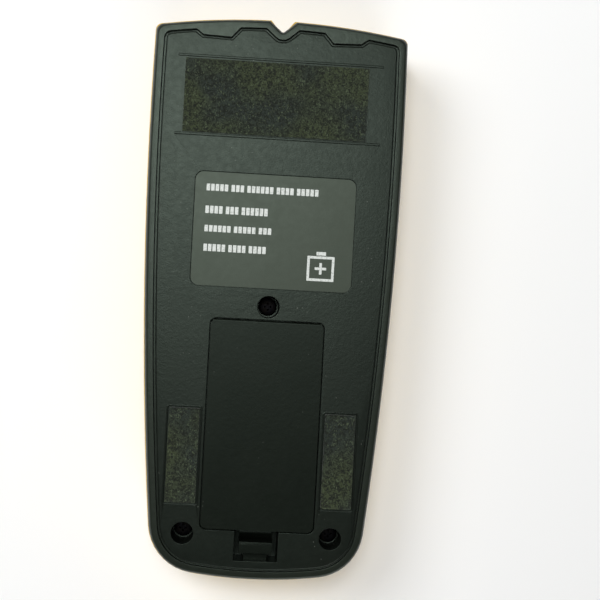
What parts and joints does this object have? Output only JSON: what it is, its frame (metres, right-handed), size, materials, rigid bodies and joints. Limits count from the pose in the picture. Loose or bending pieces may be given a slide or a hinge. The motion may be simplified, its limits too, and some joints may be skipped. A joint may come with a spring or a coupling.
{
  "type": "stud finder",
  "caption": "Hand-held wall detector with a marking notch, felt glide pads, a sprung battery door, a display window and mode keys.",
  "frame": {"origin": "middle of the footprint, on the flat front face that the tool lies on", "axes": "+Z out of the back, +Y towards the marking notch, +X to the right as the back is seen"},
  "size_m": [0.0756, 0.1665, 0.0307],
  "materials": {
    "yellow_shell": "lightly grained, satin",
    "dark_case": "fine spark-eroded grain, matt",
    "dark_cover": "fine spark-eroded grain, matt",
    "dark_door": "finer grain, matt",
    "felt": "pressed olive-black felt with pale fibres",
    "label": null,
    "screw_steel": "zinc plated",
    "screw_black": "blackened steel",
    "bezel": "polished",
    "clear_window": "clear, polished",
    "lcd_glass": "grey-green liquid crystal display",
    "white_plastic": "natural white",
    "light_guide": "milky diffuser",
    "contact_rubber": "pink silicone with carbon layers",
    "key_plastic": "soft matt",
    "switch_metal": "nickel plated",
    "red_lens": "translucent red",
    "board_green": "solder mask with tracks",
    "chip_black": "moulded epoxy",
    "capacitor_blue": "printed sleeve",
    "copper": "enamelled copper",
    "pin_header": "moulded header with plated pins",
    "battery_jacket": "printed metal jacket",
    "snap_plastic": "soft black vinyl",
    "red_insulation": "vinyl wire cover",
    "black_insulation": "vinyl wire cover",
    "foam": "closed-cell foam"
  },
  "bodies": {
    "case": {"front_shell": "yellow_shell", "rear_frame": "dark_case", "rear_cover": "dark_cover", "wide_felt_pad": "felt", "left_felt_pad": "felt", "right_felt_pad": "felt", "rating_label": "label", "case_screws": "screw_black", "window_bezel": "bezel", "display_window": "clear_window", "lcd_panel": "lcd_glass", "lcd_frame": "white_plastic", "backlight": "light_guide", "contact_strips": "contact_rubber", "key_switches": "switch_metal", "signal_lens": "red_lens", "signal_led": "red_lens", "main_board": "board_green", "control_chips": "chip_black", "board_capacitors": "capacitor_blue", "buzzer": "chip_black", "sensor_board": "board_green", "sensor_plates": "copper", "coil_bobbin": "white_plastic", "coil_winding": "copper", "coil_leads": "copper", "board_pins": "pin_header", "board_screws": "screw_steel", "sensor_screws": "screw_steel", "battery": "battery_jacket", "battery_terminals": "switch_metal", "battery_snap": "snap_plastic", "lead_red": "red_insulation", "lead_black": "black_insulation", "battery_pad": "foam"},
    "door": {"battery_door": "dark_door"},
    "latch": {"door_latch": "dark_door"},
    "stud_key": {"key_stud": "key_plastic"},
    "metal_key": {"key_metal": "key_plastic"},
    "wire_key": {"key_wire": "key_plastic"}
  },
  "joints": [
    {"name": "door_hinge", "type": "hinge", "parent": "case", "child": "door", "pos_m": [0, -0.00635, 0.0295], "axis": [-1, 0, 0], "range_deg": [0, 75]},
    {"name": "latch_flex", "type": "hinge", "parent": "door", "child": "latch", "pos_m": [0, -0.06915, 0.0225], "axis": [-1, 0, 0], "range_deg": [0, 8], "stiffness_Nm_per_rad": 0.05},
    {"name": "stud_key_press", "type": "slide", "parent": "case", "child": "stud_key", "axis": [0, 0, 1], "range_m": [0, 0.0004], "stiffness_N_per_m": 500},
    {"name": "metal_key_press", "type": "slide", "parent": "case", "child": "metal_key", "axis": [0, 0, 1], "range_m": [0, 0.0004], "stiffness_N_per_m": 500},
    {"name": "wire_key_press", "type": "slide", "parent": "case", "child": "wire_key", "axis": [0, 0, 1], "range_m": [0, 0.0004], "stiffness_N_per_m": 500}
  ]
}
